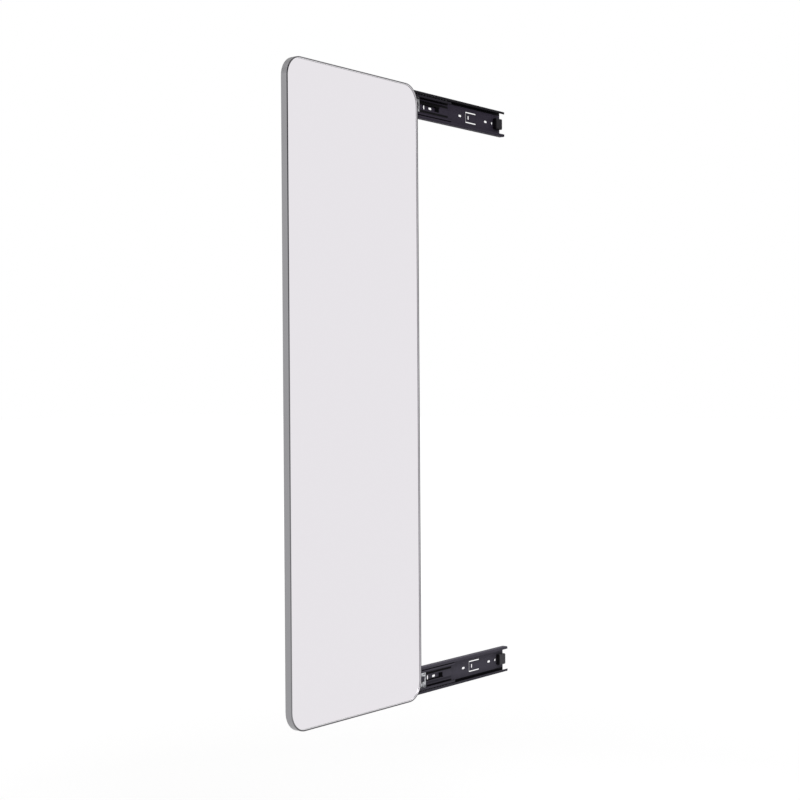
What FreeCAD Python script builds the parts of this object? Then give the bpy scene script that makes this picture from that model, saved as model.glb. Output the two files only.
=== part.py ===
"""Pull-out closet mirror.

A framed mirror panel carried on two telescopic ball-bearing rails that screw to the side
wall of a closet. Millimetres, +Z up. The wall is the plane Y = 0 and the mirror looks
along -Y. The mirror is pulled out along -X. The origin is the centre of the four round
screw holes that hold the rails to the wall.

Two directions are used all through: "s" is the distance forward from the rear end of the
outer rails, along the pull, and "out" is the distance out from the wall. Every piece is
built where it lies with the mirror pulled fully out.
"""
import FreeCAD
import Part
import math
import os

from FreeCAD import Vector

# --- Driving dimensions (mm) -------------------------------------------------------------

# Mirror panel
panel_height = 1100.0
panel_width = 355.0
panel_depth = 12.5
corner_radius = 35.0

# Frame profile, bent around the glass
frame_wall = 1.6
lip_width = 3.0
lip_thickness = 1.2
ledge_width = 10.6
ledge_thickness = 1.8
frame_edge_radius = 0.8

# Layers inside the frame, from the front
seal_thickness = 0.5
glass_thickness = 4.0
tape_thickness = 1.0
tape_width = 20.0
tape_count = 4
plate_thickness = 1.5
glass_gap = 0.6
board_gap = 0.8
fit_gap = 0.3

# Rails
rail_length = 305.0
rail_height = 48.4
rail_depth = 12.7
rail_inset = 28.5
steel = 1.2
bend_radius = 1.8
bend_inner_radius = 0.6
race_depth = 0.3
outer_lip = 4.7
middle_lip = 4.9
rear_stop = 23.0
travel = 310.0
panel_rear_closed = -9.0
panel_clearance = 0.6

# Balls and their cages
ball_diameter = 4.76
ball_play = 0.2
ball_pitch = 9.0
cage_steel = 0.6
cage_gap = 0.4
cage_edge = 0.6
cage_end = 8.0
cage_bar = 3.5
cage_margin = 6.0
outer_cage_bays = 1
inner_cage_bays = 3
inner_cage_start = 4.5
inner_cage_window = 10.0
inner_cage_creep = 7.5

# Holes in the outer rails, measured from their rear and front ends
screw_hole_diameter = 5.0
rear_hole_s = 26.5
front_hole_inset = 39.5
slot_length = 10.0
slot_height = 4.2
wall_slots_s = (48.0, 134.0, 230.0)
gauge_slot_s = 249.0
gauge_slot_width = 4.5
gauge_slot_height = 8.0
tab_front_s = 116.0
tab_rear_s = 81.0
tab_height = 16.5
tab_cut = 2.2
tab_hole_inset = 9.5
tab_hole_height = 8.0

# Window, detent and front slot in the intermediate rails
window_start = 28.0
window_length = 52.0
window_height = 9.0
detent_length = 9.0
middle_slot_inset = 40.0
middle_slot_length = 23.0

# Rear bumper
bumper_length = 21.6
bumper_height = 20.5
bumper_depth = 8.0
bumper_radius = 2.0
bumper_nib = 3.0

# Inner rail fixings and release lever
rail_screw_diameter = 4.0
rail_screw_head_diameter = 7.4
rail_screw_head_height = 2.2
rail_screw_rear_inset = 40.0
rail_screw_lever_gap = 24.0
rail_screw_front_inset = 24.0
screw_tip = 1.2
lever_start = 150.0
lever_length = 70.0
lever_width = 8.0
lever_thickness = 3.0
lever_pivot_inset = 12.0
lever_pad_length = 18.0
lever_pad_width = 9.5
lever_rib_count = 4
pivot_diameter = 4.0
pivot_head_diameter = 6.6
pivot_head_height = 0.9
pivot_play = 0.08

# Mounting plates and their screws
plate_height = 50.0
band_margin = 1.0
band_corner_radius = 4.0
plate_corner_radius = 3.0
plate_screw_diameter = 3.0
plate_screw_head_diameter = 5.6
plate_screw_head_height = 1.3
plate_screw_spacing = 220.0
plate_side_screw_gap = 5.0

# --- Sizes that follow -------------------------------------------------------------------

ball_radius = ball_diameter / 2
race_radius = ball_radius + ball_play
cage_rim = race_radius + cage_edge

# Rail section: half heights from the rail's middle line, and distances out from the wall
outer_half = rail_height / 2
outer_ball_z = outer_half - steel + race_depth - race_radius
middle_half = outer_ball_z - race_radius + race_depth
inner_ball_z = middle_half - steel + race_depth - race_radius
inner_half = inner_ball_z - race_radius + race_depth

outer_cage_web = steel + cage_gap
middle_web = outer_cage_web + cage_steel + cage_gap
inner_cage_web = middle_web + steel + fit_gap
inner_rail_back = inner_cage_web + cage_steel + fit_gap
outer_cage_window = 2 * (outer_ball_z + cage_steel / 2 - cage_rim)
outer_ball_out = rail_depth - steel - fit_gap - cage_rim
inner_ball_out = inner_cage_web + cage_steel + race_radius
panel_back = rail_depth + panel_clearance
panel_front = panel_back + panel_depth

# Layers of the panel, as distances out from the wall
ledge_front = panel_back + ledge_thickness
lip_back = panel_front - lip_thickness
glass_front = lip_back - seal_thickness
glass_back = glass_front - glass_thickness
tape_back = glass_back - tape_thickness
board_back = ledge_front + plate_thickness

# Places along the pull, with the mirror fully out
stage = travel / 2
middle_length = rail_length - rear_stop
inner_length = rail_length - rear_stop
middle_rear = rear_stop + stage
inner_rear = rear_stop + travel
panel_rear = panel_rear_closed + travel
panel_fore = panel_rear + panel_width

outer_cage_rear = middle_rear + cage_margin / 2
outer_cage_length = rail_length - outer_cage_rear - cage_margin
inner_cage_rear = middle_rear + inner_cage_start + stage / 2
inner_cage_length = middle_rear + middle_length - inner_cage_rear - cage_margin - inner_cage_creep

# The origin lies midway between the rear and front screw holes
front_hole_s = rail_length - front_hole_inset
rail_rear_x = (rear_hole_s + front_hole_s) / 2
rail_z = panel_height / 2 - rail_inset

CUT = 1.0  # how far a cutting tool runs past the face that it cuts


def x_of(s):
    """X of a place that lies s forward of the rail's rear end."""
    return rail_rear_x - s


# --- Outlines and solids -----------------------------------------------------------------


def rounded_corner(before, corner, after, radius):
    """Start, middle and end of the arc that rounds one corner of an outline."""
    to_before = (before - corner).normalize()
    to_after = (after - corner).normalize()
    half_angle = to_before.getAngle(to_after) / 2
    bisector = (to_before + to_after).normalize()
    reach = radius / math.tan(half_angle)
    centre = corner + bisector * (radius / math.sin(half_angle))
    return corner + to_before * reach, centre - bisector * radius, corner + to_after * reach


def closed_wire(corners, radii):
    """A closed wire through the corners, each rounded by its radius; 0 keeps it sharp."""
    arcs = []
    count = len(corners)
    for i in range(count):
        if radii[i] > 0:
            arcs.append(rounded_corner(corners[i - 1], corners[i], corners[(i + 1) % count], radii[i]))
        else:
            arcs.append((corners[i], None, corners[i]))
    edges = []
    for i in range(count):
        start, middle, end = arcs[i]
        if middle is not None:
            edges.append(Part.Arc(start, middle, end).toShape())
        following = arcs[(i + 1) % count][0]
        if end.distanceToPoint(following) > 1e-6:
            edges.append(Part.LineSegment(end, following).toShape())
    return Part.Wire(edges)


def section_along_pull(points, s_rear, s_front):
    """Extrude an outline of (out, z, radius) points from s_rear to s_front."""
    corners = [Vector(x_of(s_rear), -out, z) for out, z, radius in points]
    radii = [radius for out, z, radius in points]
    face = Part.Face(closed_wire(corners, radii))
    return face.extrude(Vector(s_rear - s_front, 0, 0))


def sheet(points, out_back, out_front):
    """Extrude an outline of (s, z, radius) points from out_back to out_front."""
    corners = [Vector(x_of(s), -out_back, z) for s, z, radius in points]
    radii = [radius for s, z, radius in points]
    face = Part.Face(closed_wire(corners, radii))
    return face.extrude(Vector(0, out_back - out_front, 0))


def rectangle(s_rear, s_front, z_low, z_high, radius=0.0):
    """Corner points of a rectangle in (s, z), all corners alike."""
    return [
        (s_rear, z_low, radius),
        (s_front, z_low, radius),
        (s_front, z_high, radius),
        (s_rear, z_high, radius),
    ]


def plate(s_rear, s_front, z_low, z_high, out_back, out_front, radius=0.0):
    """A flat rectangular plate, parallel to the wall."""
    return sheet(rectangle(s_rear, s_front, z_low, z_high, radius), out_back, out_front)


def disc(s, z, diameter, out_back, out_front):
    """A round disc or hole cutter whose axis points away from the wall."""
    base = Vector(x_of(s), -out_back, z)
    return Part.makeCylinder(diameter / 2, out_front - out_back, base, Vector(0, -1, 0))


def slot(s, z, length, height, out_back, out_front):
    """A slot cutter with round ends, lying along the pull."""
    half = length / 2
    return plate(s - half, s + half, z - height / 2, z + height / 2, out_back, out_front, height / 2 - 0.01)


def race(out, z, s_rear, s_front):
    """The groove that one row of balls runs in, as a cutter."""
    base = Vector(x_of(s_front + CUT), -out, z)
    return Part.makeCylinder(race_radius, s_front - s_rear + 2 * CUT, base, Vector(1, 0, 0))


def panel_outline(inset):
    """The panel's rounded outline, moved inward by inset."""
    half_height = panel_height / 2 - inset
    radius = corner_radius - inset
    return rectangle(panel_rear + inset, panel_fore - inset, -half_height, half_height, radius)


def panel_layer(inset, out_back, out_front):
    """One full layer of the panel, inset from its edge."""
    return sheet(panel_outline(inset), out_back, out_front)


# --- Rails -------------------------------------------------------------------------------


def outer_rail():
    """Wall channel: flat web on the wall, edges turned in over the outer rows of balls."""
    points = lipped_channel(outer_half, 0, rail_depth, outer_half - outer_lip)
    rail = section_along_pull(points, 0, rail_length)
    return rail.cut(races(outer_ball_out, outer_ball_z, 0, rail_length) + wall_holes())


def lipped_channel(half, back, front, lip):
    """Section of a rail with its web at back and its edges at front turned in to lip."""
    return [
        (back, -half, bend_radius),
        (back, half, bend_radius),
        (front, half, bend_radius),
        (front, lip, 0),
        (front - steel, lip, 0),
        (front - steel, half - steel, bend_inner_radius),
        (back + steel, half - steel, bend_inner_radius),
        (back + steel, steel - half, bend_inner_radius),
        (front - steel, steel - half, bend_inner_radius),
        (front - steel, -lip, 0),
        (front, -lip, 0),
        (front, -half, bend_radius),
    ]


def races(out, z, s_rear, s_front):
    """Both grooves of one pair of ball rows."""
    return [race(out, side * z, s_rear, s_front) for side in (-1, 1)]


def wall_holes():
    """Cutters for the screw holes, slots and bayonet tab of an outer rail."""
    back = -CUT
    front = steel + CUT
    cutters = []
    for s in (rear_hole_s, front_hole_s):
        cutters.append(disc(s, 0, screw_hole_diameter, back, front))
    for s in wall_slots_s:
        cutters.append(slot(s, 0, slot_length, slot_height, back, front))
    cutters.append(upright_slot(gauge_slot_s, gauge_slot_height, back, front))
    cutters.append(tab_slit(back, front))
    cutters.append(upright_slot(tab_front_s - tab_hole_inset, tab_hole_height, back, front))
    return cutters


def upright_slot(s, height, back, front):
    """A narrow upright slot with round ends, in the web of an outer rail."""
    half = gauge_slot_width / 2
    return plate(s - half, s + half, -height / 2, height / 2, back, front, half - 0.01)


def tab_slit(back, front):
    """The C-shaped slit that leaves a tab joined to the web at its rear."""
    half = tab_height / 2
    slit = plate(tab_rear_s, tab_front_s, -half - tab_cut, half + tab_cut, back, front, tab_cut / 2)
    tab = plate(tab_rear_s - CUT, tab_front_s - tab_cut, -half, half, back - CUT, front + CUT)
    return slit.cut(tab)


def middle_rail():
    """Intermediate channel: outer balls run on its outside, inner balls behind its lips."""
    front = rail_depth - fit_gap
    points = lipped_channel(middle_half, middle_web, front, middle_half - middle_lip)
    end = middle_rear + middle_length
    rail = section_along_pull(points, middle_rear, end)
    cutters = races(outer_ball_out, outer_ball_z, middle_rear, end)
    cutters += races(inner_ball_out, inner_ball_z, middle_rear, end)
    cutters.append(middle_window())
    front_slot_s = end - middle_slot_inset
    cutters.append(slot(front_slot_s, 0, middle_slot_length, slot_height, middle_web - CUT, front))
    return rail.cut(cutters)


def middle_window():
    """Cutter for the long window in the intermediate rail's web."""
    start = middle_rear + window_start
    half = window_height / 2
    out_back = middle_web - CUT
    out_front = middle_web + steel + CUT
    return plate(start, start + window_length, -half, half, out_back, out_front, 1.0)


def detent():
    """Plastic detent block, clipped into the rear end of the window."""
    start = middle_rear + window_start
    half = window_height / 2
    return plate(start, start + detent_length, -half, half, middle_web, middle_web + steel, 1.0)


def inner_rail():
    """Channel on the mirror: web against the mounting plate, flanges towards the wall."""
    half = inner_half
    back = inner_rail_back
    front = panel_back
    points = [
        (front, -half, bend_radius),
        (front, half, bend_radius),
        (back, half, 0),
        (back, half - steel, 0),
        (front - steel, half - steel, bend_inner_radius),
        (front - steel, steel - half, bend_inner_radius),
        (back, steel - half, 0),
        (back, -half, 0),
    ]
    end = inner_rear + inner_length
    rail = section_along_pull(points, inner_rear, end)
    cutters = races(inner_ball_out, inner_ball_z, inner_rear, end)
    web_back = front - steel - CUT
    for s in rail_screw_places():
        cutters.append(disc(s, 0, rail_screw_diameter, web_back, front + CUT))
    cutters.append(disc(pivot_s(), 0, pivot_diameter, web_back, front + CUT))
    return rail.cut(cutters)


def cage(s_rear, length, bays, window, web_out, ball_out, ball_z):
    """Sheet-steel cage: a flat ladder of windows with a flange of ball holes along each side."""
    half = ball_z + cage_steel / 2
    reach = ball_out + cage_rim
    points = [
        (web_out, -half, cage_steel),
        (web_out, half, cage_steel),
        (reach, half, 0),
        (reach, half - cage_steel, 0),
        (web_out + cage_steel, half - cage_steel, 0),
        (web_out + cage_steel, cage_steel - half, 0),
        (reach, cage_steel - half, 0),
        (reach, -half, 0),
    ]
    end = s_rear + length
    cutters = []
    bay = (length - cage_bar) / bays
    for i in range(bays):
        start = s_rear + i * bay + cage_bar
        cutters.append(
            plate(start, start + bay - cage_bar, -window / 2, window / 2,
                  web_out - CUT, web_out + cage_steel + CUT, 2 * cage_steel)
        )
    for s in ball_places(s_rear, length):
        base = Vector(x_of(s), -ball_out, -half - CUT)
        cutters.append(Part.makeCylinder(ball_radius + ball_play, 2 * (half + CUT), base, Vector(0, 0, 1)))
    return section_along_pull(points, s_rear, end).cut(cutters)


def ball_places(s_rear, length):
    """Places of the balls along one row of a cage."""
    room = length - 2 * cage_end
    count = int(room / ball_pitch) + 1
    first = s_rear + (length - (count - 1) * ball_pitch) / 2
    return [first + i * ball_pitch for i in range(count)]


def balls(s_rear, length, ball_out, ball_z):
    """All the steel balls of one cage, in two rows."""
    spheres = []
    for s in ball_places(s_rear, length):
        for side in (-1, 1):
            spheres.append(Part.makeSphere(ball_radius, Vector(x_of(s), -ball_out, side * ball_z)))
    return Part.makeCompound(spheres)


def rear_bumper():
    """Soft block on the web at the rear end, which stops the moving rails."""
    half = bumper_height / 2
    front = steel + bumper_depth
    body = plate(rear_stop - bumper_length - cage_gap, rear_stop - cage_gap, -half, half, steel, front)
    edges = [edge for edge in body.Edges if abs(edge.BoundBox.YMin + front) < 1e-6]
    body = body.makeFillet(bumper_radius, edges)
    half_nib = bumper_nib / 2
    nib = plate(0, bumper_nib, -half_nib, half_nib, steel, steel + bumper_depth / 2)
    return body.fuse(nib).removeSplitter()


# --- Release lever on each inner rail ----------------------------------------------------


def pivot_s():
    """Place of the lever's pivot along the pull."""
    return inner_rear + lever_start + lever_pivot_inset


def lever_out():
    """Distance of the lever's wall side, so that it lies just off the inner rail's web."""
    return panel_back - steel - fit_gap - lever_thickness


def release_lever():
    """Plastic lever: a bored boss at the pivot, an arm and a ribbed thumb pad."""
    start = inner_rear + lever_start
    arm_half = lever_width / 2
    pad_half = lever_pad_width / 2
    pad_start = start + lever_length - lever_pad_length
    end = start + lever_length
    points = [
        (start, -arm_half, arm_half - 0.1),
        (pad_start, -arm_half, 2.0),
        (pad_start + 3, -pad_half, 2.0),
        (end, -pad_half, 2.0),
        (end, pad_half, 2.0),
        (pad_start + 3, pad_half, 2.0),
        (pad_start, arm_half, 2.0),
        (start, arm_half, arm_half - 0.1),
    ]
    back = lever_out()
    lever = sheet(points, back, back + lever_thickness)
    rib_pitch = lever_pad_length / (lever_rib_count + 1)
    for i in range(lever_rib_count):
        s = pad_start + 3 + i * rib_pitch
        rib = plate(s, s + 1.2, -pad_half + 1, pad_half - 1, back - 0.6, back)
        lever = lever.fuse(rib)
    bore = disc(pivot_s(), 0, pivot_diameter + 2 * pivot_play, back - CUT, back + lever_thickness + CUT)
    return lever.removeSplitter().cut(bore)


def lever_pivot():
    """Shouldered rivet, set in the inner rail's web, on which the lever turns."""
    head_front = lever_out() - fit_gap
    shank = disc(pivot_s(), 0, pivot_diameter, head_front, panel_back)
    head = disc(pivot_s(), 0, pivot_head_diameter, head_front - pivot_head_height, head_front)
    return shank.fuse(head).removeSplitter()


# --- Mirror panel ------------------------------------------------------------------------


def mirror_frame():
    """Aluminium profile bent to a ring: outer wall, front lip and rear ledge."""
    ring = panel_layer(0, panel_back, panel_front)
    front_edges = [edge for edge in ring.Edges if edge.BoundBox.YMax < -panel_front + 1e-6]
    ring = ring.makeFillet(frame_edge_radius, front_edges)
    cavity = panel_layer(frame_wall, ledge_front, lip_back)
    front_opening = panel_layer(lip_width, lip_back, panel_front + CUT)
    rear_opening = panel_layer(ledge_width, panel_back - CUT, ledge_front)
    ring = ring.cut([cavity, front_opening, rear_opening])
    return ring.cut([countersunk(s, z) for s, z in plate_screw_places()])


def glazing_seal():
    """Thin ring between the frame's lip and the glass."""
    seal = panel_layer(frame_wall + fit_gap / 2, glass_front, lip_back)
    return seal.cut(panel_layer(lip_width - fit_gap / 2, glass_front - CUT, lip_back + CUT))


def mirror_glass():
    """Silvered float glass with rounded corners."""
    return panel_layer(frame_wall + glass_gap, glass_back, glass_front)


def foam_tapes():
    """Vertical strips of double-sided tape that join the glass to the board."""
    half = panel_height / 2 - corner_radius
    pitch = (panel_width - 2 * corner_radius) / (tape_count - 1)
    strips = []
    for i in range(tape_count):
        middle = panel_rear + corner_radius + i * pitch
        strips.append(
            plate(middle - tape_width / 2, middle + tape_width / 2, -half, half, tape_back, glass_back)
        )
    return Part.makeCompound(strips)


def backing_board():
    """Hardboard panel behind the glass."""
    return panel_layer(frame_wall + board_gap, board_back, tape_back)


def retaining_splines():
    """Rubber strips that fill the space between the board and the ledge on the long sides."""
    half = panel_height / 2 - plate_height - fit_gap
    inset = frame_wall + fit_gap
    rear = plate(panel_rear + inset, panel_rear + ledge_width, -half, half, ledge_front, board_back)
    fore = plate(panel_fore - ledge_width, panel_fore - inset, -half, half, ledge_front, board_back)
    return Part.makeCompound([rear, fore])


def mounting_plate():
    """Pressed steel plate under the ledge, with a raised band that carries the inner rail.

    Built for the upper rail, about its middle line, and placed with it.
    """
    top = panel_height / 2 - rail_z - frame_wall - fit_gap
    low = panel_height / 2 - rail_z - plate_height
    rear = panel_rear + frame_wall + fit_gap
    fore = panel_fore - frame_wall - fit_gap
    corner = corner_radius - frame_wall - fit_gap
    outline = [
        (rear, low, plate_corner_radius),
        (fore, low, plate_corner_radius),
        (fore, top, corner),
        (rear, top, corner),
    ]
    base = sheet(outline, ledge_front, board_back)
    band = band_block(0, panel_back)
    hollow = band_block(plate_thickness, panel_back + plate_thickness)
    pressed = base.fuse(band).cut(hollow).removeSplitter()
    cutters = [disc(s, 0, rail_screw_diameter, panel_back - CUT, board_back) for s in rail_screw_places()]
    for s, z in plate_screw_places():
        if z > 0:
            cutters.append(disc(s, z - rail_z, plate_screw_diameter, panel_back, board_back + CUT))
    return pressed.cut(cutters)


def band_block(inset, out_back):
    """The raised band's block, made smaller by inset, down to the board."""
    rear = panel_rear + corner_radius + inset
    fore = panel_fore - corner_radius - inset
    half = inner_half + band_margin - inset
    return plate(rear, fore, -half, half, out_back, board_back, band_corner_radius - inset)


def rail_screw_places():
    """Places along the pull of the screws that hold an inner rail to its plate."""
    first = inner_rear + rail_screw_rear_inset
    middle = inner_rear + lever_start - rail_screw_lever_gap
    last = inner_rear + inner_length - rail_screw_front_inset
    return [first, middle, last]


def rail_screws():
    """Pan-head screws of one inner rail."""
    web = panel_back - steel
    screws = []
    for s in rail_screw_places():
        head = disc(s, 0, rail_screw_head_diameter, web - rail_screw_head_height, web)
        rim = [edge for edge in head.Edges if edge.BoundBox.YMin > -web + fit_gap]
        head = head.makeFillet(rail_screw_head_height * 0.4, rim)
        shank = disc(s, 0, rail_screw_diameter, web, panel_back + plate_thickness + screw_tip)
        screw = head.fuse(shank).removeSplitter()
        screws.append(screw.cut(cross_recess(s, web - rail_screw_head_height)))
    return Part.makeCompound(screws)


def cross_recess(s, face_out):
    """Cutter for a cross recess in a screw head whose face lies at face_out."""
    long_half = rail_screw_head_diameter * 0.27
    short_half = long_half * 0.25
    depth = rail_screw_head_height * 0.5
    along = plate(s - long_half, s + long_half, -short_half, short_half, face_out - CUT, face_out + depth)
    across = plate(s - short_half, s + short_half, -long_half, long_half, face_out - CUT, face_out + depth)
    return along.fuse(across)


def plate_screw_places():
    """(s, z) of every countersunk screw that ties the frame's ledge to the plates."""
    middle = (panel_rear + panel_fore) / 2
    ledge_middle = (frame_wall + ledge_width) / 2
    top = panel_height / 2 - ledge_middle
    side = panel_height / 2 - corner_radius - plate_side_screw_gap
    places = []
    for sign in (-1, 1):
        places.append((middle - plate_screw_spacing / 2, sign * top))
        places.append((middle + plate_screw_spacing / 2, sign * top))
        places.append((panel_rear + ledge_middle, sign * side))
        places.append((panel_fore - ledge_middle, sign * side))
    return places


def countersunk(s, z):
    """One countersunk screw, flush with the back of the ledge."""
    head = Part.makeCone(
        plate_screw_head_diameter / 2,
        plate_screw_diameter / 2,
        plate_screw_head_height,
        Vector(x_of(s), -panel_back, z),
        Vector(0, -1, 0),
    )
    shank = disc(s, z, plate_screw_diameter, panel_back, board_back)
    return head.fuse(shank).removeSplitter()


def plate_screws():
    """All the countersunk screws of the two mounting plates."""
    return Part.makeCompound([countersunk(s, z) for s, z in plate_screw_places()])


# --- Assembly ----------------------------------------------------------------------------


def upper(shape):
    """Move a piece, built about its rail's middle line, to the upper rail."""
    return shape.translated(Vector(0, 0, rail_z))


def lower(shape):
    """Mirror the same piece to the lower rail."""
    return upper(shape).mirror(Vector(0, 0, 0), Vector(0, 0, 1))


def rail_pieces(creep):
    """One of each piece that both rails have, built about the rail's middle line.

    The ball cages roll freely, so an inner cage may have crept forward a little.
    """
    outer_rows = (outer_cage_rear, outer_cage_length)
    outer_cage = (outer_cage_bays, outer_cage_window, outer_cage_web)
    inner_rows = (inner_cage_rear + creep, inner_cage_length)
    inner_cage = (inner_cage_bays, inner_cage_window, inner_cage_web)
    return {
        "outer_rail": outer_rail(),
        "rear_bumper": rear_bumper(),
        "outer_ball_cage": cage(*outer_rows, *outer_cage, outer_ball_out, outer_ball_z),
        "outer_balls": balls(*outer_rows, outer_ball_out, outer_ball_z),
        "middle_rail": middle_rail(),
        "detent_block": detent(),
        "inner_ball_cage": cage(*inner_rows, *inner_cage, inner_ball_out, inner_ball_z),
        "inner_balls": balls(*inner_rows, inner_ball_out, inner_ball_z),
        "inner_rail": inner_rail(),
        "rail_screws": rail_screws(),
        "release_lever": release_lever(),
        "lever_pivot": lever_pivot(),
        "mounting_plate": mounting_plate(),
    }


def panel_pieces():
    """The pieces of the mirror panel that are there once."""
    return {
        "mirror_frame": mirror_frame(),
        "glazing_seal": glazing_seal(),
        "mirror_glass": mirror_glass(),
        "foam_tapes": foam_tapes(),
        "backing_board": backing_board(),
        "retaining_splines": retaining_splines(),
        "plate_screws": plate_screws(),
    }


def main():
    os.makedirs("parts", exist_ok=True)
    pieces = dict(panel_pieces())
    for name, shape in rail_pieces(inner_cage_creep).items():
        pieces[name + "_upper"] = upper(shape)
    for name, shape in rail_pieces(0.0).items():
        pieces[name + "_lower"] = lower(shape)
    for name, shape in pieces.items():
        shape.exportStep("parts/" + name + ".step")
        print(f"{name:24s} solids {len(shape.Solids):3d}  volume {shape.Volume:12.1f}  valid {shape.isValid()}")


main()
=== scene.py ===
# %% [markdown]
# # A pull-out closet mirror
#
# This lesson dresses an exact model of a closet mirror that slides out on two telescopic rails.
# The shapes of the frame, the glass, the rails and the balls come ready made, in metres, and stay
# where they are. Our work is the room around them and the finish of every material.

# %% Load the model
import bpy
import math

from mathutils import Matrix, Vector


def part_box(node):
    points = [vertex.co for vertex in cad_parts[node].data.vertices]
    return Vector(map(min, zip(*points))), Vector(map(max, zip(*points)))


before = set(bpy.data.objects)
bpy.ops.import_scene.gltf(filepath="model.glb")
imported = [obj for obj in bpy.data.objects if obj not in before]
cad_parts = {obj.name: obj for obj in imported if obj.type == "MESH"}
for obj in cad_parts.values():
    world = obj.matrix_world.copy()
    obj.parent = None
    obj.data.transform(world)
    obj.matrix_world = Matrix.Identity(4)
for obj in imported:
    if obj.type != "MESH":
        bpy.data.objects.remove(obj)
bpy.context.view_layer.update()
print("nodes in the model:", len(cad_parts))

# %% [markdown]
# ## The camera
#
# A tall flat thing looks right through a longish lens, because a wide one makes its far edge
# shrink. We stand almost three metres away, on the left, with the lens at the height of the
# mirror's middle. The camera could be aimed with a Track To constraint; plain angles are easier to
# repeat, so we turn it by given angles: first level, then round to the right, then a hair of roll.

# %% Camera
camera_data = bpy.data.cameras.new("lesson_camera")
camera_data.sensor_width = 36.0
camera_data.lens = 69.95
camera_data.clip_start = 0.05
camera_data.clip_end = 100.0
camera = bpy.data.objects.new("lesson_camera", camera_data)
bpy.context.scene.collection.objects.link(camera)
bpy.context.scene.camera = camera
camera.location = (-2.3987, -1.6812, 0.0105)
look_down = math.radians(0.471)
turn_right = math.radians(52.849)
roll_right = math.radians(0.382)
camera.rotation_euler = (math.pi / 2 - look_down, 0.0, -turn_right)
camera.rotation_euler.rotate_axis("Z", -roll_right)
bpy.context.scene.view_settings.view_transform = "Standard"
print("camera stands", round(camera.location.length, 2), "m from the middle of the screw holes")

# %% [markdown]
# ## Tools for node trees
#
# The room and every finish are small trees of nodes. They could be wired by hand in the shader
# editor, but a tree that is written down can be read like a recipe and used again. Each helper
# below makes one kind of node, fills its inputs and hands back its output. All lengths are metres,
# and a share is a number from 0 to 1.

# %% Helpers for nodes


def add_node(tree, kind, **settings):
    """A new shader node with its settings."""
    node = tree.nodes.new("ShaderNode" + kind)
    for name, value in settings.items():
        setattr(node, name, value)
    return node


def feed(tree, target, source):
    """Fill an input with a number, a colour, a point or another node's output."""
    if isinstance(source, bpy.types.NodeSocket):
        tree.links.new(source, target)
    elif isinstance(source, tuple) and len(source) == 3 and target.type == "RGBA":
        target.default_value = (*source, 1.0)
    else:
        target.default_value = source


def calculate(tree, operation, first, second=0.0, clamp=False):
    """Work out one number from one or two others."""
    node = add_node(tree, "Math", operation=operation, use_clamp=clamp)
    feed(tree, node.inputs[0], first)
    feed(tree, node.inputs[1], second)
    return node.outputs[0]


def product(tree, first, *others):
    """Numbers or shares multiplied with each other."""
    result = first
    for factor in others:
        result = calculate(tree, "MULTIPLY", result, factor)
    return result


def spread(tree, value, from_low, from_high, to_low, to_high, smooth=False):
    """Turn one range of a value into another, and stop at its ends."""
    node = add_node(tree, "MapRange", clamp=True)
    node.interpolation_type = "SMOOTHSTEP" if smooth else "LINEAR"
    feed(tree, node.inputs["Value"], value)
    feed(tree, node.inputs["From Min"], from_low)
    feed(tree, node.inputs["From Max"], from_high)
    feed(tree, node.inputs["To Min"], to_low)
    feed(tree, node.inputs["To Max"], to_high)
    return node.outputs[0]


print("helpers for nodes are ready")

# %% [markdown]
# ## White room
#
# A mirror shows the room and not itself, so the room decides how it looks. In a white cove it
# turns into one even, slightly cool sheet. A panorama would bring shapes into the glass, so a plain
# sky does it here. It has two strengths: full white for the camera and for anything that reflects,
# and a softer one that only lights. The Light Path node tells the kinds of ray apart.

# %% World
soft_sky_strength = 0.55
world = bpy.data.worlds.new("white_cove")
bpy.context.scene.world = world
world.use_nodes = True
sky = world.node_tree
sky.nodes.clear()
sky_path = add_node(sky, "LightPath")
looks = calculate(sky, "ADD", sky_path.outputs["Is Camera Ray"], sky_path.outputs["Is Glossy Ray"])
looks = calculate(sky, "ADD", looks, sky_path.outputs["Is Transmission Ray"], clamp=True)
sky_strength = spread(sky, looks, 0.0, 1.0, soft_sky_strength, 1.0)
white_sky = add_node(sky, "Background")
feed(sky, white_sky.inputs["Color"], (1.0, 1.0, 1.0))
feed(sky, white_sky.inputs["Strength"], sky_strength)
sky_output = add_node(sky, "OutputWorld")
feed(sky, sky_output.inputs["Surface"], white_sky.outputs[0])
print("sky lights with", soft_sky_strength, "and shows as white")

# %% [markdown]
# ## Floor
#
# The mirror hangs on a wall, so the floor lies some way under it, far enough down to catch only a
# soft shadow. A curved backdrop would do as well, but with a white sky behind it a flat sheet needs
# no curve. It is so wide that its edge melts into the sky.

# %% Floor sheet
floor_height = -1.0
floor_reach = 40.0
floor_mesh = bpy.data.meshes.new("floor")
floor_signs = ((-1, -1), (1, -1), (1, 1), (-1, 1))
floor_corners = [(x * floor_reach, y * floor_reach, floor_height) for x, y in floor_signs]
floor_mesh.from_pydata(floor_corners, [], [(0, 1, 2, 3)])
floor = bpy.data.objects.new("floor", floor_mesh)
bpy.context.scene.collection.objects.link(floor)

# %% [markdown]
# ## Floor paint
#
# The sheet is painted a pale grey. More lamps would lift it to white, but would bleach the mirror
# as well. So part of what the camera sees of it is a faint glow of its own, which grows with the
# distance, where the lamps no longer reach. It brings the floor up to the white of the sky and
# leaves the shadow in place. In a reflection the floor is plain white, so the mirror doesn't show
# where it ends.

# %% Floor paint
pale_grey = (0.8, 0.8, 0.8)
glow_from = 1.8
glow_to = 5.5
faint_glow = 0.365
strong_glow = 0.62


def empty_material(name):
    """A material whose node tree is still empty."""
    material = bpy.data.materials.new(name)
    material.use_nodes = True
    material.node_tree.nodes.clear()
    return material, material.node_tree


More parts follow.
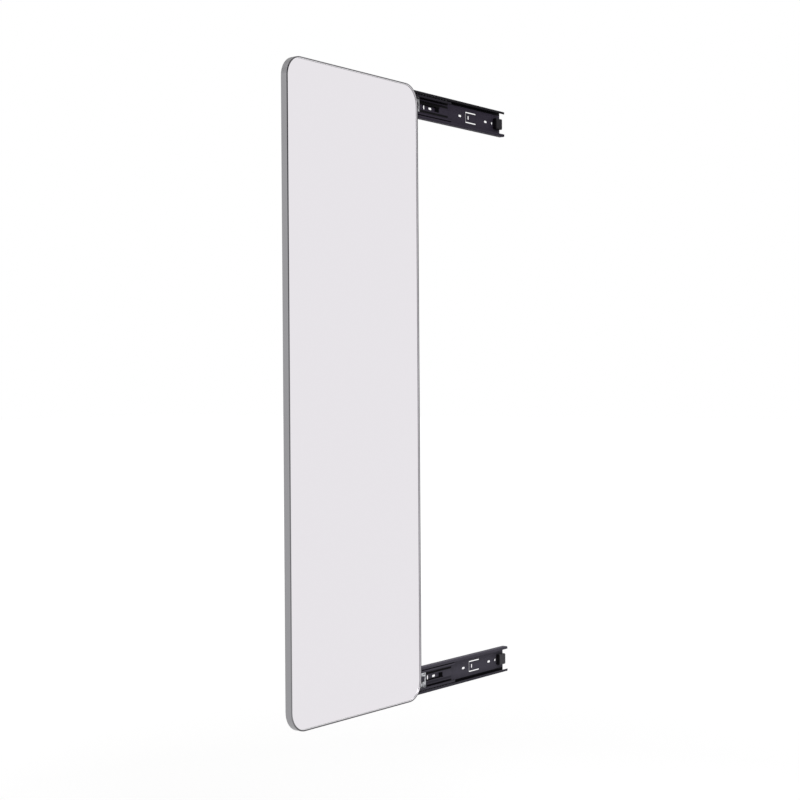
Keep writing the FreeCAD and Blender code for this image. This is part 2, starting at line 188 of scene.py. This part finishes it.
def place_on_object(tree):
    """The point of the surface in the object's own metres."""
    return add_node(tree, "TexCoord").outputs["Object"]


def length_of(tree, point):
    """How far a point lies from zero."""
    node = add_node(tree, "VectorMath", operation="LENGTH")
    feed(tree, node.inputs[0], point)
    return node.outputs["Value"]


floor_paint, paint = empty_material("floor_paint")
painted = add_node(paint, "BsdfDiffuse")
feed(paint, painted.inputs["Color"], pale_grey)
from_middle = length_of(paint, place_on_object(paint))
floor_glow = spread(paint, from_middle, glow_from, glow_to, faint_glow, strong_glow)
floor_path = add_node(paint, "LightPath")
glow = add_node(paint, "Emission")
feed(paint, glow.inputs["Strength"], product(paint, floor_glow, floor_path.outputs["Is Camera Ray"]))
lit_floor = add_node(paint, "AddShader")
feed(paint, lit_floor.inputs[0], painted.outputs[0])
feed(paint, lit_floor.inputs[1], glow.outputs[0])
plain_white = add_node(paint, "Emission")
feed(paint, plain_white.inputs["Strength"], 1.0)
glossy_ray = floor_path.outputs["Is Glossy Ray"]
clear_ray = floor_path.outputs["Is Transmission Ray"]
floor_choice = add_node(paint, "MixShader")
feed(paint, floor_choice.inputs["Fac"], calculate(paint, "MAXIMUM", glossy_ray, clear_ray))
feed(paint, floor_choice.inputs[1], lit_floor.outputs[0])
feed(paint, floor_choice.inputs[2], plain_white.outputs[0])
floor_output = add_node(paint, "OutputMaterial")
feed(paint, floor_output.inputs["Surface"], floor_choice.outputs[0])
floor_mesh.materials.append(floor_paint)
print("floor glows from", faint_glow, "near the mirror to", strong_glow, "far away")

# %% [markdown]
# ## Lamps
#
# Three soft boxes do the rest: a broad one high on the left, a weaker one high on the right that
# opens the shadows, and one overhead and behind that draws a thin light line along the tops of the
# rails. They all hang high, so that the mirror, which faces the room, never shows one. Spot lamps
# would throw hard shadows, and the wider a lamp of the same power is, the gentler its reflection in
# the metal.

# %% Lamps
mirror_middle = (-0.33, 0.0, 0.0)


def soft_box(name, place, width, power):
    """A square area lamp at a place, aimed at the mirror."""
    lamp = bpy.data.lights.new(name, "AREA")
    lamp.shape = "SQUARE"
    lamp.size = width
    lamp.energy = power
    lamp_object = bpy.data.objects.new(name, lamp)
    lamp_object.location = place
    aim = Vector(mirror_middle) - Vector(place)
    lamp_object.rotation_euler = aim.to_track_quat("-Z", "Y").to_euler()
    bpy.context.scene.collection.objects.link(lamp_object)
    print(name, "hangs at", place, "with", power, "W")


soft_box("left_box", (-2.2, -2.2, 2.8), 2.4, 42.0)
soft_box("right_box", (2.4, -2.0, 2.8), 2.2, 22.0)
soft_box("back_box", (-0.4, 2.4, 3.2), 2.8, 30.0)

# %% [markdown]
# ## Places and patterns
#
# For a finish, a pattern is measured at each point of the surface, then steers the colour, the
# roughness and a shallow relief. Painted pictures would do it too, but a pattern that is worked
# out from the place on the object has no seams and no size limit.

# %% Helpers for places


def coordinates(tree, point):
    """The outputs X, Y and Z of a point."""
    node = add_node(tree, "SeparateXYZ")
    feed(tree, node.inputs[0], point)
    return node.outputs


def along(tree, axis):
    """One coordinate, X, Y or Z, of the point of the surface."""
    return coordinates(tree, place_on_object(tree))[axis]


def calculate_point(tree, operation, first, second=(0.0, 0.0, 0.0)):
    """Work out one point from one or two others."""
    node = add_node(tree, "VectorMath", operation=operation)
    feed(tree, node.inputs[0], first)
    feed(tree, node.inputs[1], second)
    return node.outputs[0]


def stretched(tree, scale):
    """The object's place, squeezed along each axis, for a grain that runs one way."""
    return calculate_point(tree, "MULTIPLY", place_on_object(tree), scale)


print("helpers for places are ready")

# %% Helpers for patterns


def cloudy(tree, scale, detail, vector=None, rough=0.5):
    """Soft noise from 0 to 1; scale is the number of lumps in a metre."""
    node = add_node(tree, "TexNoise")
    feed(tree, node.inputs["Vector"], vector or place_on_object(tree))
    feed(tree, node.inputs["Scale"], scale)
    feed(tree, node.inputs["Detail"], detail)
    feed(tree, node.inputs["Roughness"], rough)
    return node.outputs["Fac"]


def cells(tree, scale, output="Distance"):
    """A cell pattern, for grains, foam and flecks."""
    node = add_node(tree, "TexVoronoi")
    feed(tree, node.inputs["Vector"], place_on_object(tree))
    feed(tree, node.inputs["Scale"], scale)
    return node.outputs[output]


def blend_colours(tree, share, first, second):
    """First colour where share is 0, second where it is 1."""
    node = add_node(tree, "Mix", data_type="RGBA")
    feed(tree, node.inputs["Factor"], share)
    feed(tree, node.inputs[6], first)
    feed(tree, node.inputs[7], second)
    return node.outputs[2]


def relief(tree, height, depth, strength, under=None):
    """A bump that raises the surface by up to depth metres where height is 1."""
    node = add_node(tree, "Bump")
    feed(tree, node.inputs["Strength"], strength)
    feed(tree, node.inputs["Distance"], depth)
    feed(tree, node.inputs["Height"], height)
    if under is not None:
        feed(tree, node.inputs["Normal"], under)
    return node.outputs[0]


print("helpers for patterns are ready")

# %% [markdown]
# ## Starting a finish
#
# Metal, paint, plastic and rubber could each get a simple shader of their own. The principled
# shader holds them all and comes through an export whole, so every finish begins with one. It ends
# by being put on the pieces of the model that share it.

# %% Helpers for finishes


def new_finish(name):
    """A material with one principled shader; returns the material, its tree and the shader."""
    material, tree = empty_material(name)
    shader = add_node(tree, "BsdfPrincipled")
    output = add_node(tree, "OutputMaterial")
    tree.links.new(shader.outputs[0], output.inputs["Surface"])
    return material, tree, shader


def finish_nodes(material, names):
    """Give a finish to model nodes."""
    for name in names:
        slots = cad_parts[name].data.materials
        slots.clear()
        slots.append(material)
    print(material.name, "goes on", len(names), "nodes:", ", ".join(names))


def both_rails(*names):
    """Names of pieces that are there once on each rail."""
    return [name + side for name in names for side in ("_upper", "_lower")]


print("helpers for finishes are ready")

# %% [markdown]
# ## Distance from the frame's outline
#
# The frame is one aluminium profile bent into a ring with round corners. Its brush lines follow
# the bend, so a straight grain along X or Z would be wrong at the corners. Instead we measure how
# far each point lies inside the ring's outline: lines of equal distance run round the ring just
# as the brush did.

# %% Outline of the ring
low_corner, high_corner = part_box("mirror_frame")
ring_middle = (low_corner + high_corner) / 2
ring_half = (high_corner - low_corner) / 2
ring_corner = 0.035
ring_front = low_corner.y
print("ring is", [round(2 * value, 4) for value in ring_half], "and faces", round(ring_front, 4))


def inside_ring(tree):
    """Metres from the ring's outline, counted inward."""
    moved = calculate_point(tree, "SUBTRACT", place_on_object(tree), (ring_middle.x, 0.0, ring_middle.z))
    flat = calculate_point(tree, "MULTIPLY", moved, (1.0, 0.0, 1.0))
    folded = calculate_point(tree, "ABSOLUTE", flat)
    straight_part = (ring_half.x - ring_corner, 0.0, ring_half.z - ring_corner)
    beyond = calculate_point(tree, "SUBTRACT", folded, straight_part)
    round_part = calculate_point(tree, "MAXIMUM", beyond)
    beyond_parts = coordinates(tree, beyond)
    inner = calculate(tree, "MAXIMUM", beyond_parts["X"], beyond_parts["Z"])
    inner = calculate(tree, "MINIMUM", inner, 0.0)
    outward = calculate(tree, "ADD", length_of(tree, round_part), inner)
    return calculate(tree, "SUBTRACT", ring_corner, outward)


# %% [markdown]
# ## Satin aluminium: the brushed sides
#
# The profile is extruded, brushed lengthwise and anodised, which leaves a mid grey satin with
# hair-fine lines. Anisotropy would streak the reflection too, but the sides are too narrow to show
# it, so fine noise that is drawn out round the ring does for the lines. Metal has no colour of its
# own under the reflection, so the grey goes into the base colour. Over the top bend the grey is
# painted dark: painted shade that dims the lamps' highlight there.

# %% Brushed sides
satin_aluminium, tree, shader = new_finish("satin_aluminium")
lines_per_metre = 9000.0
breaks_per_metre = 14.0
brushed_place = add_node(tree, "CombineXYZ")
feed(tree, brushed_place.inputs["X"], product(tree, inside_ring(tree), lines_per_metre))
feed(tree, brushed_place.inputs["Y"], product(tree, along(tree, "Y"), lines_per_metre))
run_of_ring = calculate(tree, "ADD", along(tree, "X"), along(tree, "Z"))
feed(tree, brushed_place.inputs["Z"], product(tree, run_of_ring, breaks_per_metre))
brush_lines = cloudy(tree, 1.0, 2.0, brushed_place.outputs[0])
side_grey = blend_colours(tree, brush_lines, (0.285, 0.282, 0.295), (0.375, 0.372, 0.385))
# Painted shade: the grey goes dark over the top bend, to dim the lamps' highlight.
top_bend_shade = spread(tree, along(tree, "Z"), ring_half.z - 0.034, ring_half.z - 0.012, 0.0, 1.0)
side_grey = blend_colours(tree, top_bend_shade, side_grey, (0.076, 0.074, 0.078))
print("brush lines:", round(lines_per_metre / 1000), "to the millimetre")

# %% [markdown]
# ## Satin aluminium: the front lip
#
# The narrow front lip is painted darker than the sides as painted shade, most of all high up and
# on the right, and both ends have one even grey. It could be a material of its own, but the two meet
# in a soft line, so we blend its greys by place and lay them over the sides further down.

# %% Front lip
end_grey = (0.10, 0.097, 0.104)
# Painted shade: the lip's greys darken upward and to the right.
lip_height = spread(tree, along(tree, "Z"), -0.45, 0.5, 0.0, 1.0)
lip_left = blend_colours(tree, lip_height, (0.20, 0.196, 0.205), (0.016, 0.014, 0.018))
lip_right = blend_colours(tree, lip_height, (0.12, 0.117, 0.123), (0.006, 0.005, 0.007))
from_left = spread(tree, along(tree, "X"), low_corner.x + 0.05, high_corner.x - 0.05, 0.0, 1.0)
lip_painted_shade = blend_colours(tree, from_left, lip_left, lip_right)
from_level = calculate(tree, "ABSOLUTE", along(tree, "Z"))
on_end = spread(tree, from_level, ring_half.z - 0.02, ring_half.z - 0.004, 0.0, 1.0)
lip_grey = blend_colours(tree, on_end, lip_painted_shade, end_grey)
print("the lip is", round(2 * ring_half.z, 2), "m high from end to end")

# %% [markdown]
# ## Satin aluminium: the painted rim highlight
#
# Where the lip meets the glass, its inner rim is painted bright, fully at the two ends and less
# along the sides: a painted highlight of the polished edge. The wall just behind the rim gets the
# same painted highlight. A thin bright ring of its own would have to be fitted to the bends; a share
# that rises with the distance from the outline follows them by itself.

# %% Painted rim highlight
# Painted highlight: the inner rim and the wall behind it are painted near white.
rim_highlight_white = (0.84, 0.83, 0.85)
rim_from = 0.0021
rim_to = 0.0026
rim_wall_to = 0.0029
inner_rim = spread(tree, inside_ring(tree), rim_from, rim_to, 0.0, 1.0)
side_highlight_share = spread(tree, from_left, 0.0, 1.0, 0.3, 0.05)
rim_highlight_share = calculate(tree, "MAXIMUM", on_end, side_highlight_share)
lip_grey = blend_colours(tree, product(tree, inner_rim, rim_highlight_share), lip_grey, rim_highlight_white)
on_lip = spread(tree, along(tree, "Y"), ring_front + 0.0006, ring_front + 0.0003, 0.0, 1.0)
ring_grey = blend_colours(tree, on_lip, side_grey, lip_grey)
rim_wall = spread(tree, inside_ring(tree), rim_to, rim_wall_to, 0.0, 0.9)
near_front = spread(tree, along(tree, "Y"), ring_front + 0.0016, ring_front + 0.0013, 0.0, 1.0)
ring_grey = blend_colours(tree, product(tree, rim_wall, near_front), ring_grey, rim_highlight_white)
# The span printed here is the painted highlight on the rim.
print("the rim is worn from", rim_from, "to", rim_to, "m inside the outline")

# %% [markdown]
# ## Satin aluminium: the gloss
#
# Brushing and the hands that pull the mirror out both change the gloss a little. So the brush
# lines and a slow cloudiness together steer the roughness, and the lines also give a relief that
# is far too shallow for real geometry. A flat value would do for a new frame.

# %% Gloss of the frame
feed(tree, shader.inputs["Base Color"], ring_grey)
shader.inputs["Metallic"].default_value = 1.0
handling = cloudy(tree, 9.0, 4.0)
satin = spread(tree, calculate(tree, "ADD", brush_lines, handling), 0.6, 1.4, 0.26, 0.42)
feed(tree, shader.inputs["Roughness"], satin)
feed(tree, shader.inputs["Normal"], relief(tree, brush_lines, 0.00002, 0.35))
finish_nodes(satin_aluminium, ["mirror_frame"])

# %% [markdown]
# ## Silvered glass
#
# A closet mirror is float glass with silver and paint on its back. Real glass over real silver
# would double every reflection for nothing, so one polished metal does for both. Its faint tint is
# the glass's own. A clean mirror still has the odd wiped streak, which only shows as a slightly
# softer reflection, and the back is sealed with grey paint.

# %% Silvered glass
mirror_glass, tree, shader = new_finish("mirror_glass")
sealing_grey = (0.12, 0.13, 0.14)
glass_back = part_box("mirror_glass")[1].y
on_back = spread(tree, along(tree, "Y"), glass_back - 0.0035, glass_back - 0.0005, 0.0, 1.0)
wiped = cloudy(tree, 3.0, 5.0, stretched(tree, (1.0, 1.0, 0.35)))
silver = blend_colours(tree, wiped, (0.798, 0.774, 0.806), (0.806, 0.782, 0.814))
feed(tree, shader.inputs["Base Color"], blend_colours(tree, on_back, silver, sealing_grey))
feed(tree, shader.inputs["Metallic"], calculate(tree, "SUBTRACT", 1.0, on_back))
glass_polish = spread(tree, wiped, 0.35, 0.75, 0.012, 0.05)
back_roughness = product(tree, on_back, 0.5)
feed(tree, shader.inputs["Roughness"], calculate(tree, "ADD", glass_polish, back_roughness))
finish_nodes(mirror_glass, ["mirror_glass"])

# %% [markdown]
# ## Places on a rail
#
# A telescopic rail is a strip with rolled edges, and paint, wear and painted shade follow its
# length. They could be painted by hand, but then every rail would need its own picture. We measure
# instead how far a point lies from its rail's middle line, on which half of the rail, and on which rail.

# %% Places on a rail
rail_low, rail_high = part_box("outer_rail_upper")
rail_level = (rail_low.z + rail_high.z) / 2
rail_front = rail_low.y
free_height = 0.1
half_blend = 0.002
band_edge = 0.0005
print("rails lie", round(rail_level, 4), "m above and below the middle")


def beyond_rail_middle(tree):
    """Metres past the nearer rail's middle line, away from the middle of the mirror."""
    level = calculate(tree, "ABSOLUTE", along(tree, "Z"))
    return calculate(tree, "SUBTRACT", level, rail_level)


def by_half(tree, near, far):
    """One value on the half towards the middle of the mirror, another on the far half."""
    return spread(tree, beyond_rail_middle(tree), -half_blend, half_blend, near, far)


def by_rail(tree, lower, upper):
    """One value on the lower rail, another on the upper one; it changes halfway, where no rail is."""
    return spread(tree, along(tree, "Z"), -free_height, free_height, lower, upper)


def rail_band(tree, low, high):
    """1 between two distances from the rail's middle line, on either half, and 0 outside them."""
    distance = calculate(tree, "ABSOLUTE", beyond_rail_middle(tree))
    above = spread(tree, distance, low, low + band_edge, 0.0, 1.0)
    below = spread(tree, distance, high, high - band_edge, 0.0, 1.0)
    return product(tree, above, below)


# %% [markdown]
# ## Black slide steel: the paint
#
# The rails are rolled from steel strip and dipped in black paint, which keeps a cold violet-grey
# sheen. The lower rail's paint is painted lighter as painted light, light scuffs run along the
# strip, and the upper wall rail's far edge gets painted light too. A clear coat over a base would be
# truer to a dip, but the paint is so thin and dull that one layer looks the same.

# %% Paint of the rails
scuff_grey = (0.085, 0.078, 0.098)
far_edge_light_grey = (0.063, 0.052, 0.081)


def painted_steel(tree, patchy, far_edge_light):
    """The colour of the painted strip; the last argument is how much painted light lifts the upper
    rail's far edge.
    """
    # Painted light: the lower rail's paint is lighter than the upper rail's.
    lower_rail_light = spread(tree, along(tree, "Z"), -0.5, 0.5, 1.0, 0.0)
    dark_paint = blend_colours(tree, lower_rail_light, (0.0325, 0.027, 0.043), (0.069, 0.064, 0.084))
    light_paint = blend_colours(tree, lower_rail_light, (0.0465, 0.0385, 0.058), (0.096, 0.089, 0.114))
    colour = blend_colours(tree, patchy, dark_paint, light_paint)
    scratch_lines = cloudy(tree, 1.0, 6.0, stretched(tree, (120.0, 1500.0, 1500.0)))
    scuffs = spread(tree, scratch_lines, 0.66, 0.74, 0.0, 0.4)
    colour = blend_colours(tree, scuffs, colour, scuff_grey)
    # Painted light: the upper rail's far edge is lifted lighter.
    far_edge = spread(tree, beyond_rail_middle(tree), 0.0065, 0.0150, 0.0, 1.0)
    far_edge_light_share = product(tree, far_edge, by_rail(tree, lower=0.0, upper=far_edge_light))
    return blend_colours(tree, far_edge_light_share, colour, far_edge_light_grey)


# The far-edge grey printed here is painted light.
print("scuffs are", scuff_grey, "and rubbed edges", far_edge_light_grey)

# %% [markdown]
# ## Black slide steel: the painted shade
#
# Painted shade darkens the paint where the balls run, in the seams between two rails, in a groove
# beside the slots, and on the front edges. It could be a skin of its own, but that would have to
# slide with the rails. A darker colour in the same finish goes where its rail goes.

# %% Painted shade of the rails
# Near-black greys for the painted shade inside and between the rails.
lip_shade_grey = (0.010, 0.009, 0.012)
track_shade_grey = (0.0015, 0.0012, 0.0020)
seam_shade_grey = (0.0010, 0.0008, 0.0014)
lower_rail_shade_share = 0.45
groove_from = 0.0032
groove_to = {"lower": 0.0054, "upper": 0.0078}


def shade_lip(tree, colour, share):
    """Painted shade on the rail's front edges, most of it on the far half."""
    on_lip = spread(tree, along(tree, "Y"), rail_front + 0.0022, rail_front + 0.0012, 0.0, share)
    lip_shade = product(tree, on_lip, by_half(tree, 0.15, by_rail(tree, lower_rail_shade_share, 1.0)))
    return blend_colours(tree, lip_shade, colour, lip_shade_grey)


def shade_track(tree, colour, low, high, share):
    """Painted shade where the balls run, behind the lip, between two distances from the middle line."""
    behind_lip = spread(tree, along(tree, "Y"), rail_front + 0.0010, rail_front + 0.0016, 0.0, share)
    track_shade = product(tree, rail_band(tree, low, high), behind_lip)
    return blend_colours(tree, track_shade, colour, track_shade_grey)


def shade_seam(tree, colour, low, high, share):
    """Painted shade in a seam between two rails; the lower rail's far half has less."""
    by_place = by_half(tree, 1.0, by_rail(tree, lower_rail_shade_share, 1.0))
    seam_shade = product(tree, rail_band(tree, low, high), share, by_place)
    return blend_colours(tree, seam_shade, colour, seam_shade_grey)


def shade_groove(tree, colour, share):
    """Painted shade in the groove beside the slots, on the mirror's side and away from the wall."""
    beyond = beyond_rail_middle(tree)
    above = calculate(tree, "GREATER_THAN", beyond, groove_from)
    below = calculate(tree, "LESS_THAN", beyond, by_rail(tree, **groove_to))
    beside_slots = spread(tree, along(tree, "X"), -0.059, -0.057, share, 0.0)
    off_wall = spread(tree, along(tree, "Y"), -0.0004, -0.0010, 0.0, 1.0)
    groove_shade = product(tree, below, above, beside_slots, off_wall)
    return blend_colours(tree, groove_shade, colour, seam_shade_grey)


# The share printed here is of painted shade.
print("the lower rail's far half takes", lower_rail_shade_share, "of the grease")

# %% [markdown]
# ## Black slide steel: the three strips
#
# Each telescopic rail has a strip on the wall, one on the mirror and one between them. They share
# paint and relief, and differ in where the painted shade sits. Three separate recipes would drift
# apart, so one function makes all three from the places of their tracks and seams.

# %% Black slide steel


def slide_steel(name, lip_share, track, seams, far_edge_light=0.0, groove=0.0):
    """Painted strip with painted shade. The track and each seam are (from, to, share of painted shade).
    """
    material, tree, shader = new_finish(name)
    patchy = cloudy(tree, 60.0, 4.0)
    colour = painted_steel(tree, patchy, far_edge_light)
    colour = shade_lip(tree, colour, lip_share)
    colour = shade_track(tree, colour, *track)
    for seam in seams:
        colour = shade_seam(tree, colour, *seam)
    colour = shade_groove(tree, colour, groove)
    feed(tree, shader.inputs["Base Color"], colour)
    shader.inputs["Specular IOR Level"].default_value = 0.035
    rolled = cloudy(tree, 1.0, 3.0, stretched(tree, (30.0, 900.0, 900.0)))
    satin = spread(tree, calculate(tree, "ADD", patchy, rolled), 0.6, 1.4, 0.46, 0.6)
    feed(tree, shader.inputs["Roughness"], satin)
    peel = relief(tree, cloudy(tree, 1400.0, 2.0), 0.00002, 0.5)
    feed(tree, shader.inputs["Normal"], relief(tree, rolled, 0.00003, 0.4, peel))
    return material


# Each track and seam below darkens its band with painted shade.
wall_track = (0.0170, 0.0232, 0.96)
wall_steel = slide_steel("wall_rail_steel", 1.0, wall_track, [], far_edge_light=1.0, groove=0.95)
finish_nodes(wall_steel, both_rails("outer_rail"))
moving_track = (0.0122, 0.0174, 0.96)
moving_seams = [(0.0064, 0.0107, 0.97), (0.0134, 0.0149, 0.6), (0.0171, 0.0201, 0.97)]
middle_steel = slide_steel("middle_rail_steel", 0.7, moving_track, moving_seams, groove=0.95)
finish_nodes(middle_steel, both_rails("middle_rail"))
inner_steel = slide_steel("inner_rail_steel", 0.7, moving_track, moving_seams)
finish_nodes(inner_steel, both_rails("inner_rail"))

# %% [markdown]
# ## Zinc-plated steel
#
# Cages, screws, rivets and the pressed plates are plated with zinc: bright, a little blue, with
# small crystal patches and light scratches. Grease from the tracks gets onto the ball cages and
# leaves them mottled; on the upper rail the dark mottling spreads wider as painted shade. Zinc
# crystals have straight edges, so a cell pattern with one random grey for each cell comes closer
# than soft noise would.

# %% Zinc-plated steel
crystals_per_metre = 700.0
grease_and_shade_grey = (0.15, 0.147, 0.155)


def zinc_plated(name, grease):
    """Zinc-plated steel; grease is how dark its mottling is, from 0 to 1. Up high it is painted shade
    too.
    """
    material, tree, shader = new_finish(name)
    crystal_value = add_node(tree, "SeparateColor")
    feed(tree, crystal_value.inputs[0], cells(tree, crystals_per_metre, "Color"))
    tarnish = cloudy(tree, 45.0, 5.0)
    zinc_mix = product(tree, crystal_value.outputs[0], tarnish)
    zinc_grey = blend_colours(tree, zinc_mix, (0.60, 0.61, 0.64), (0.74, 0.75, 0.77))
    # Grease mottle, spread wider on the upper rail as painted shade.
    grease_and_shade_from = by_rail(tree, lower=0.53, upper=0.36)
    mottled = calculate(tree, "SUBTRACT", cloudy(tree, 300.0, 3.0), grease_and_shade_from)
    mottled = spread(tree, mottled, 0.0, 0.05, 0.0, grease)
    zinc_grey = blend_colours(tree, mottled, zinc_grey, grease_and_shade_grey)
    feed(tree, shader.inputs["Base Color"], zinc_grey)
    shader.inputs["Metallic"].default_value = 1.0
    satin = spread(tree, calculate(tree, "ADD", tarnish, zinc_mix), 0.4, 1.2, 0.24, 0.44)
    feed(tree, shader.inputs["Roughness"], satin)
    scratches = cloudy(tree, 1.0, 4.0, stretched(tree, (150.0, 2500.0, 2500.0)))
    feed(tree, shader.inputs["Normal"], relief(tree, scratches, 0.00002, 0.35))
    return material


greasy_shaded_zinc = zinc_plated("greasy_shaded_zinc", 0.9)
finish_nodes(greasy_shaded_zinc, both_rails("outer_ball_cage", "inner_ball_cage"))
clean_zinc = zinc_plated("clean_zinc", 0.15)
finish_nodes(clean_zinc, both_rails("mounting_plate", "rail_screws", "lever_pivot") + ["plate_screws"])

# %% [markdown]
# ## Bearing balls
#
# Hard polished steel balls run in a thick dark grease. Their steel is painted far darker than
# bare steel, as painted shade for the gap between the rails where they show. A plain dark metal
# would look like painted beads, so smears of grease dull some of each ball and leave the rest to
# glint.

# %% Bearing balls
ball_steel, tree, shader = new_finish("ball_steel")
smear = spread(tree, cloudy(tree, 420.0, 3.0), 0.45, 0.62, 0.0, 1.0, smooth=True)
# Painted shade: the ball steel is far darker than bare steel, and grease smears darken it more.
ball_grey_and_shade = blend_colours(tree, smear, (0.11, 0.11, 0.115), (0.05, 0.047, 0.042))
feed(tree, shader.inputs["Base Color"], ball_grey_and_shade)
shader.inputs["Metallic"].default_value = 1.0
feed(tree, shader.inputs["Roughness"], spread(tree, smear, 0.0, 1.0, 0.2, 0.45))
finish_nodes(ball_steel, both_rails("outer_balls", "inner_balls"))

# %% [markdown]
# ## Moulded plastic
#
# Bumpers and levers are black moulded plastic with a fine spark-eroded texture. The bumper
# nearest the floor is painted grey as painted light, the upper one a little darker as painted
# shade, and the left side of each bumper is painted deep black as painted shade. The detents that
# hold the rails shut are near black. The texture is too fine to model, so a cell pattern raises it
# as relief.

# %% Moulded plastic
side_shade_black = (0.004, 0.003, 0.005)
off_the_part = -1.0


def moulded_plastic(name, dark, light, gloss, black_to=off_the_part):
    """Black plastic with a fine grain; gloss is its specular level. Left of black_to it is painted
    black, as painted shade.
    """
    material, tree, shader = new_finish(name)
    dusty = cloudy(tree, 90.0, 4.0)
    grained = blend_colours(tree, dusty, dark, light)
    # Painted shade: the bumper's left side goes near black.
    left_side = spread(tree, along(tree, "X"), black_to, black_to + 0.0008, 0.9, 0.0)
    feed(tree, shader.inputs["Base Color"], blend_colours(tree, left_side, grained, side_shade_black))
    shader.inputs["Specular IOR Level"].default_value = gloss
    feed(tree, shader.inputs["Roughness"], spread(tree, dusty, 0.3, 0.7, 0.45, 0.62))
    feed(tree, shader.inputs["Normal"], relief(tree, cells(tree, 2600.0), 0.00005, 0.5))
    return material


# The black printed here is painted shade on the bumpers' left side.
print("where the rails knock against it, the plastic is", side_shade_black)

# %% Levers, bumpers and detents
black_plastic = moulded_plastic("black_plastic", (0.012, 0.011, 0.013), (0.028, 0.027, 0.032), 0.12)
finish_nodes(black_plastic, both_rails("release_lever"))
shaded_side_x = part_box("rear_bumper_upper")[0].x + 0.0005
# Painted shade: the upper bumper is a little darker.
upper_shaded_black = ((0.010, 0.009, 0.011), (0.028, 0.026, 0.031))
upper_bumper = moulded_plastic("upper_bumper_plastic", *upper_shaded_black, 0.06, shaded_side_x)
finish_nodes(upper_bumper, ["rear_bumper_upper"])
# Painted light: the lower bumper is painted grey.
lower_painted_light_black = ((0.040, 0.038, 0.043), (0.085, 0.082, 0.091))
lower_bumper = moulded_plastic("lower_bumper_plastic", *lower_painted_light_black, 0.08, shaded_side_x)
finish_nodes(lower_bumper, ["rear_bumper_lower"])
near_black_plastic = moulded_plastic("near_black_plastic", (0.001, 0.001, 0.001), (0.003, 0.003, 0.004), 0.01)
finish_nodes(near_black_plastic, both_rails("detent_block"))

# %% [markdown]
# ## Rubber
#
# Behind the lip lies a thin rubber seal, and rubber strips hold the board. Old rubber turns
# chalky in patches. One flat black would look like plastic, so a soft noise carries both the
# colour and the roughness.

# %% Rubber
seal_rubber, tree, shader = new_finish("seal_rubber")
chalky = cloudy(tree, 80.0, 4.0)
rubber_black = blend_colours(tree, chalky, (0.014, 0.014, 0.015), (0.035, 0.034, 0.034))
feed(tree, shader.inputs["Base Color"], rubber_black)
feed(tree, shader.inputs["Roughness"], spread(tree, chalky, 0.3, 0.7, 0.65, 0.85))
feed(tree, shader.inputs["Normal"], relief(tree, cloudy(tree, 2200.0, 2.0), 0.00005, 0.4))
finish_nodes(seal_rubber, ["glazing_seal", "retaining_splines"])

# %% [markdown]
# ## Foam tape
#
# White foam tape joins the glass to the board behind it. Only its cut edges ever show, and those
# are full of open cells. To cut every cell into the mesh would be far too much, so the cell
# pattern shades and raises them.

# %% Foam tape
foam_tape, tree, shader = new_finish("foam_tape")
foam_cells = cells(tree, 2200.0)
foam_white = blend_colours(tree, foam_cells, (0.78, 0.78, 0.76), (0.60, 0.60, 0.58))
feed(tree, shader.inputs["Base Color"], foam_white)
feed(tree, shader.inputs["Roughness"], spread(tree, foam_cells, 0.0, 0.8, 0.8, 0.95))
feed(tree, shader.inputs["Normal"], relief(tree, foam_cells, 0.0001, 0.6))
finish_nodes(foam_tape, ["foam_tapes"])

# %% [markdown]
# ## Hardboard
#
# The backing board is pressed from wood fibre, brown and smooth on one side. A wood grain would be
# wrong, because the fibres lie every way. So a fine rough noise makes the fibres, a broad one
# the patches of the press, and small dark cells are flecks of bark.

# %% Hardboard
hardboard, tree, shader = new_finish("hardboard")
fibres = cloudy(tree, 1.0, 6.0, stretched(tree, (260.0, 260.0, 900.0)), rough=0.65)
pressed = product(tree, fibres, cloudy(tree, 12.0, 5.0))
flecks = spread(tree, cells(tree, 320.0), 0.08, 0.2, 0.35, 0.0)
board_brown = blend_colours(tree, pressed, (0.16, 0.078, 0.034), (0.36, 0.21, 0.105))
flecked = blend_colours(tree, flecks, board_brown, (0.07, 0.035, 0.018))
feed(tree, shader.inputs["Base Color"], flecked)
feed(tree, shader.inputs["Roughness"], spread(tree, fibres, 0.3, 0.7, 0.5, 0.75))
feed(tree, shader.inputs["Normal"], relief(tree, fibres, 0.0001, 0.4))
finish_nodes(hardboard, ["backing_board"])
